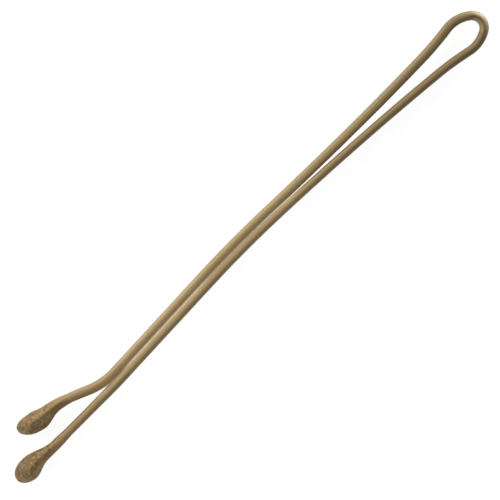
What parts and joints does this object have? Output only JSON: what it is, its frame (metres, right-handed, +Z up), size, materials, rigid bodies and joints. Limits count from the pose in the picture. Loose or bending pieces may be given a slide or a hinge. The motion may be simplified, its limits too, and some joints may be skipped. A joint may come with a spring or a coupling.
{
  "type": "bobby pin",
  "caption": "Sprung flat-wire hair pin: a straight leg and a flared, arched leg pressed together, joined by a looped bow, with a rounded resin bead on each tip.",
  "frame": {"origin": "under the middle of the pin's outline as it lies on its side, on the surface that it lies on", "axes": "+X along the pin from the beads to the bow, +Y from the straight leg to the flared leg, +Z up, across the width of the wire"},
  "size_m": [0.0508, 0.0048, 0.0022],
  "materials": {
    "lacquered_wire": "satin metallic blonde-bronze lacquer over spring steel wire",
    "tip_resin": "matte, slightly grainy dipped resin in a darker bronze"
  },
  "bodies": {
    "straight_side": {"straight_leg": "lacquered_wire", "bow_spring": "lacquered_wire", "straight_tip_bead": "tip_resin"},
    "flared_side": {"flared_leg": "lacquered_wire", "flared_tip_bead": "tip_resin"}
  },
  "joints": [
    {"name": "leg_open", "type": "hinge", "parent": "straight_side", "child": "flared_side", "pos_m": [0.02409, -0.00081, 0.00112], "axis": [0, 0, -1], "range_deg": [0, 10], "stiffness_Nm_per_rad": 0.2, "springref_deg": -5.73, "deforming": ["bow_spring"]}
  ]
}
